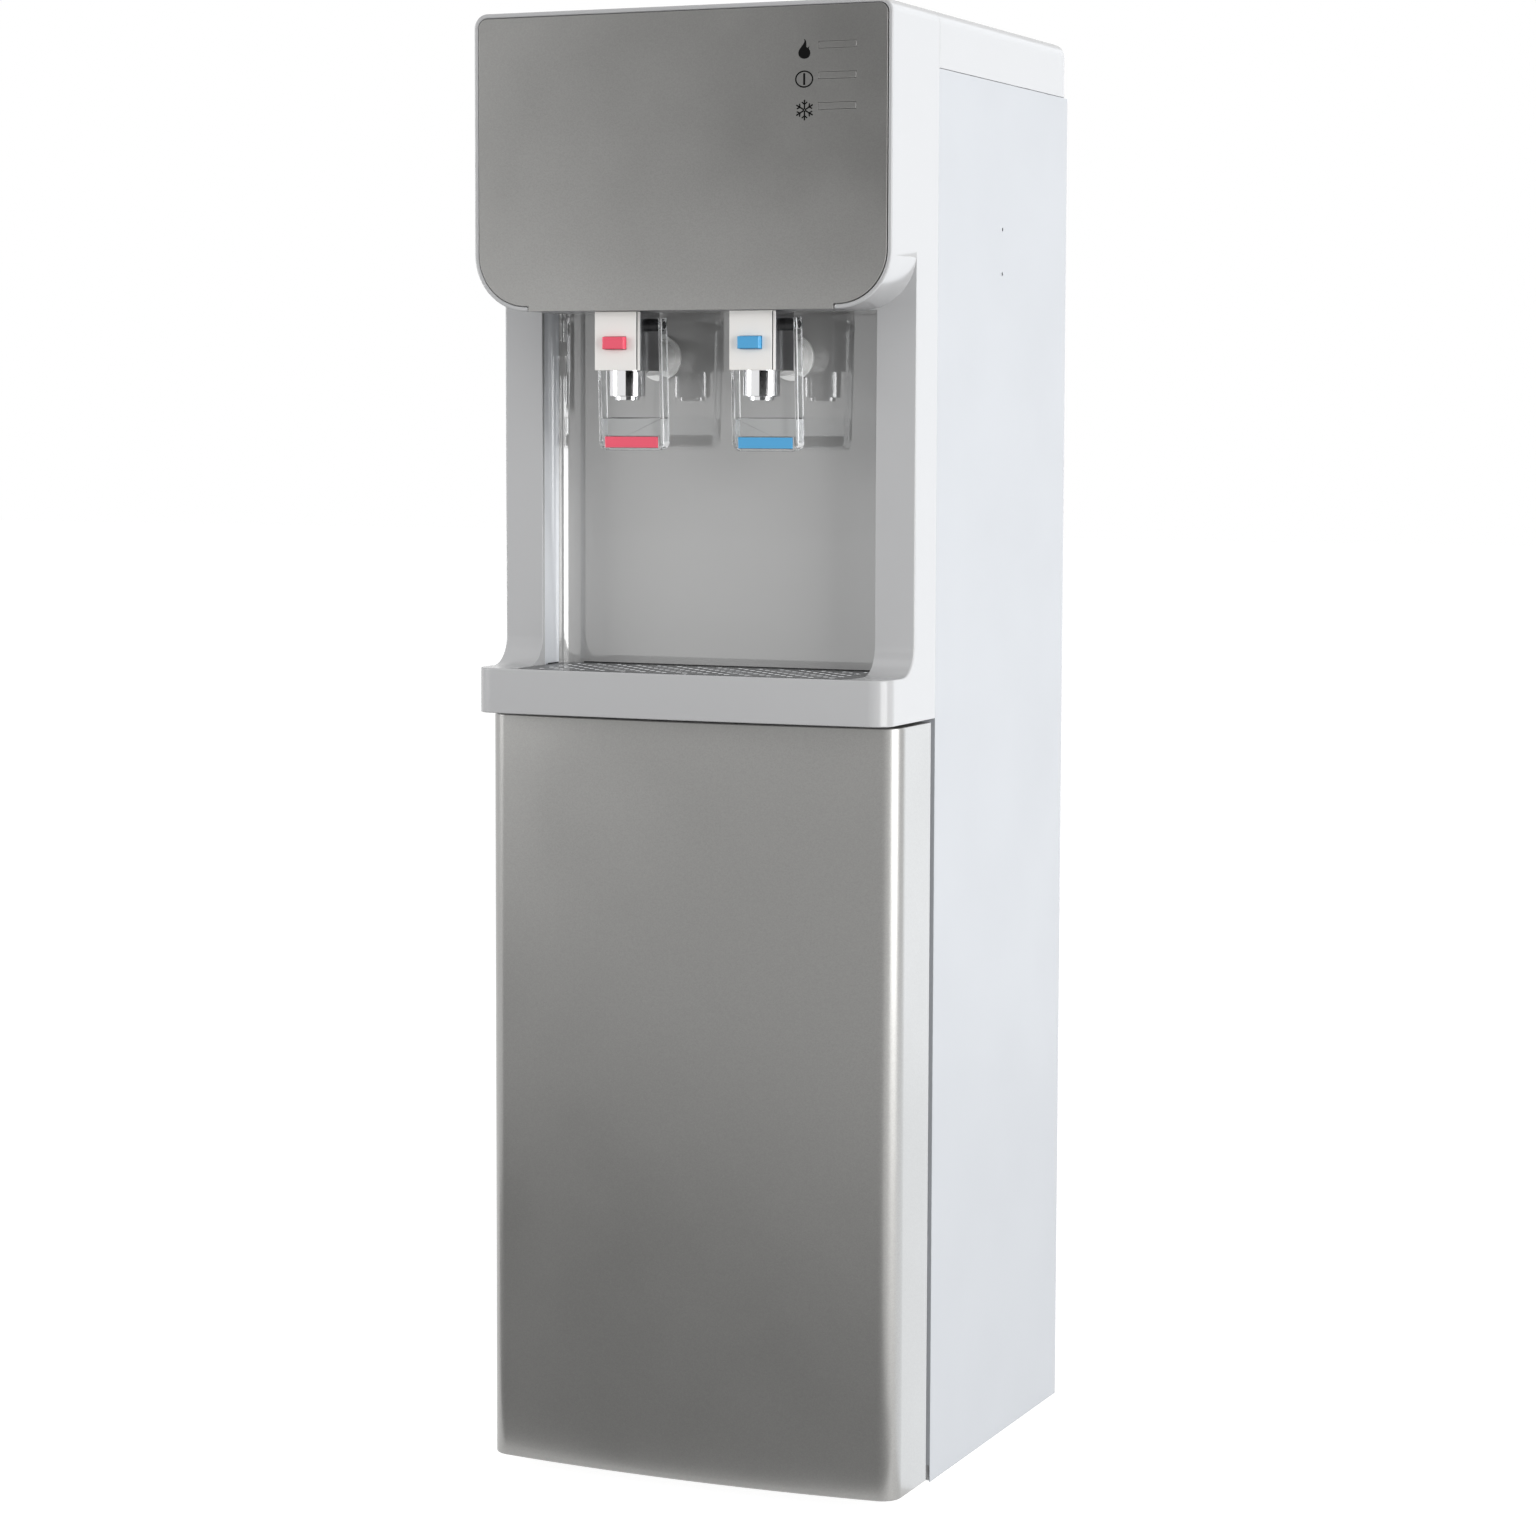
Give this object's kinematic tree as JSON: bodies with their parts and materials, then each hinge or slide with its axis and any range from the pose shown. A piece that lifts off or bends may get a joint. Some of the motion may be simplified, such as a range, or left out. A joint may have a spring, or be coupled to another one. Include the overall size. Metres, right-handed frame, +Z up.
{
  "type": "water dispenser",
  "caption": "Free-standing plumbed-in water dispenser: hot and cold push-lever taps in a cup niche, lift-out drip tray, filter cabinet behind the lower door.",
  "frame": {"origin": "centre of the bounding box on the floor, under the rubber feet", "axes": "+X to the right seen from the front, +Y to the back, +Z up"},
  "size_m": [0.317, 0.366, 1.046],
  "materials": {
    "white_plastic": "satin moulded ABS",
    "silver_plastic": "fine silver metallic paint",
    "niche_plastic": "glossy silver",
    "panel_steel": "light powder coat",
    "zinc_steel": "zinc plated sheet",
    "stainless": "brushed",
    "black_plastic": "fine matt",
    "dark_plastic": "dark grey gloss",
    "lens_plastic": "smoked, glossy",
    "board_green": "solder mask",
    "black_metal": "black enamel",
    "copper": "copper tube",
    "black_rubber": "matt",
    "grey_foam": "foam",
    "filter_white": "glossy",
    "chrome": "plated",
    "tap_white": "glossy",
    "clear_plastic": "clear moulded",
    "red_plastic": "glossy",
    "blue_plastic": "glossy",
    "magnet_black": "magnetic strip"
  },
  "bodies": {
    "cabinet": {"front_frame": "white_plastic", "head_panel": "silver_plastic", "indicator_lenses": "lens_plastic", "display_board": "board_green", "niche_liner": "niche_plastic", "top_cover": "white_plastic", "side_panel_left": "panel_steel", "side_panel_right": "panel_steel", "base_plate": "zinc_steel", "rubber_feet": "black_rubber", "lower_hinge_bracket": "zinc_steel", "door_hinge_pins": "stainless", "cabinet_liner": "white_plastic", "door_magnet": "magnet_black", "filter_manifold": "filter_white", "back_panel": "zinc_steel", "switch_housings": "black_plastic", "power_inlet": "black_plastic", "water_inlet_fitting": "filter_white", "drain_plugs": "white_plastic", "compressor": "black_metal", "compressor_mounts": "black_rubber", "compressor_bolts": "zinc_steel", "condenser_tube": "black_metal", "condenser_wires": "black_metal", "condenser_bars": "zinc_steel", "bar_rivets": "stainless", "filter_dryer": "copper", "tank_shelves": "zinc_steel", "cold_insulation": "grey_foam", "cold_tank": "stainless", "evaporator_coil": "copper", "cold_tank_lid": "white_plastic", "float_valve": "white_plastic", "hot_tank": "stainless", "hot_insulation": "grey_foam", "tap_body_hot": "chrome", "tap_body_cold": "chrome", "tap_covers": "tap_white", "tap_nozzles": "chrome", "tap_nuts": "tap_white"},
    "door": {"door_shell": "silver_plastic", "door_liner": "white_plastic", "door_strike": "zinc_steel"},
    "basin": {"drip_basin": "dark_plastic"},
    "grille": {"drip_grille": "dark_plastic"},
    "lever_hot": {"tap_lever_hot": "clear_plastic", "tap_pad_hot": "red_plastic"},
    "lever_cold": {"tap_lever_cold": "clear_plastic", "tap_pad_cold": "blue_plastic"},
    "plunger_hot": {"tap_plunger_hot": "black_rubber"},
    "plunger_cold": {"tap_plunger_cold": "black_rubber"},
    "button_hot": {"tap_button_hot": "red_plastic"},
    "button_cold": {"tap_button_cold": "blue_plastic"},
    "rocker_hot": {"switch_rocker_hot": "red_plastic"},
    "rocker_cold": {"switch_rocker_cold": "blue_plastic"},
    "cartridge_1": {"filter_cartridge_1": "filter_white"},
    "cartridge_2": {"filter_cartridge_2": "filter_white"},
    "cartridge_3": {"filter_cartridge_3": "filter_white"},
    "float": {"float_arm": "white_plastic"}
  },
  "joints": [
    {"name": "door_hinge", "type": "hinge", "parent": "cabinet", "child": "door", "pos_m": [-0.1505, -0.104, 0.28], "axis": [0, 0, -1], "range_deg": [0, 110]},
    {"name": "basin_lift", "type": "slide", "parent": "cabinet", "child": "basin", "axis": [0, 0, 1], "range_m": [0, 0.06]},
    {"name": "grille_lift", "type": "slide", "parent": "basin", "child": "grille", "axis": [0, 0, 1], "range_m": [0, 0.03]},
    {"name": "float_hinge", "type": "hinge", "parent": "cabinet", "child": "float", "pos_m": [-0.044, 0.027, 0.949], "axis": [0, -1, 0], "range_deg": [0, 30]},
    {"name": "lever_hot_hinge", "type": "hinge", "parent": "cabinet", "child": "lever_hot", "pos_m": [-0.0516, -0.142, 0.8287], "axis": [1, 0, 0], "range_deg": [0, 12], "stiffness_Nm_per_rad": 1.2, "springref_deg": -8.59},
    {"name": "plunger_hot_slide", "type": "slide", "parent": "cabinet", "child": "plunger_hot", "axis": [0, 0, 1], "range_m": [0, 0.007]},
    {"name": "button_hot_slide", "type": "slide", "parent": "cabinet", "child": "button_hot", "axis": [0, 1, 0], "range_m": [0, 0.003], "stiffness_N_per_m": 600, "springref_m": -0.002},
    {"name": "lever_cold_hinge", "type": "hinge", "parent": "cabinet", "child": "lever_cold", "pos_m": [0.0516, -0.142, 0.8287], "axis": [1, 0, 0], "range_deg": [0, 12], "stiffness_Nm_per_rad": 1.2, "springref_deg": -8.59},
    {"name": "plunger_cold_slide", "type": "slide", "parent": "cabinet", "child": "plunger_cold", "axis": [0, 0, 1], "range_m": [0, 0.007]},
    {"name": "button_cold_slide", "type": "slide", "parent": "cabinet", "child": "button_cold", "axis": [0, 1, 0], "range_m": [0, 0.003], "stiffness_N_per_m": 600, "springref_m": -0.002},
    {"name": "rocker_hot_hinge", "type": "hinge", "parent": "cabinet", "child": "rocker_hot", "pos_m": [0.047, 0.1608, 0.948], "axis": [1, 0, 0], "range_deg": [0, 14]},
    {"name": "rocker_cold_hinge", "type": "hinge", "parent": "cabinet", "child": "rocker_cold", "pos_m": [0.093, 0.1608, 0.948], "axis": [1, 0, 0], "range_deg": [0, 14]},
    {"name": "cartridge_1_twist", "type": "hinge", "parent": "cabinet", "child": "cartridge_1", "pos_m": [-0.092, -0.035, 0.4975], "axis": [0, 0, 1], "range_deg": [0, 60]},
    {"name": "cartridge_2_twist", "type": "hinge", "parent": "cabinet", "child": "cartridge_2", "pos_m": [0, -0.035, 0.4975], "axis": [0, 0, 1], "range_deg": [0, 60]},
    {"name": "cartridge_3_twist", "type": "hinge", "parent": "cabinet", "child": "cartridge_3", "pos_m": [0.092, -0.035, 0.4975], "axis": [0, 0, 1], "range_deg": [0, 60]}
  ],
  "couplings": [
    {"joint": "plunger_hot_slide", "follows": "lever_hot_hinge", "m_per_rad": 0.0334},
    {"joint": "plunger_cold_slide", "follows": "lever_cold_hinge", "m_per_rad": 0.0334}
  ]
}
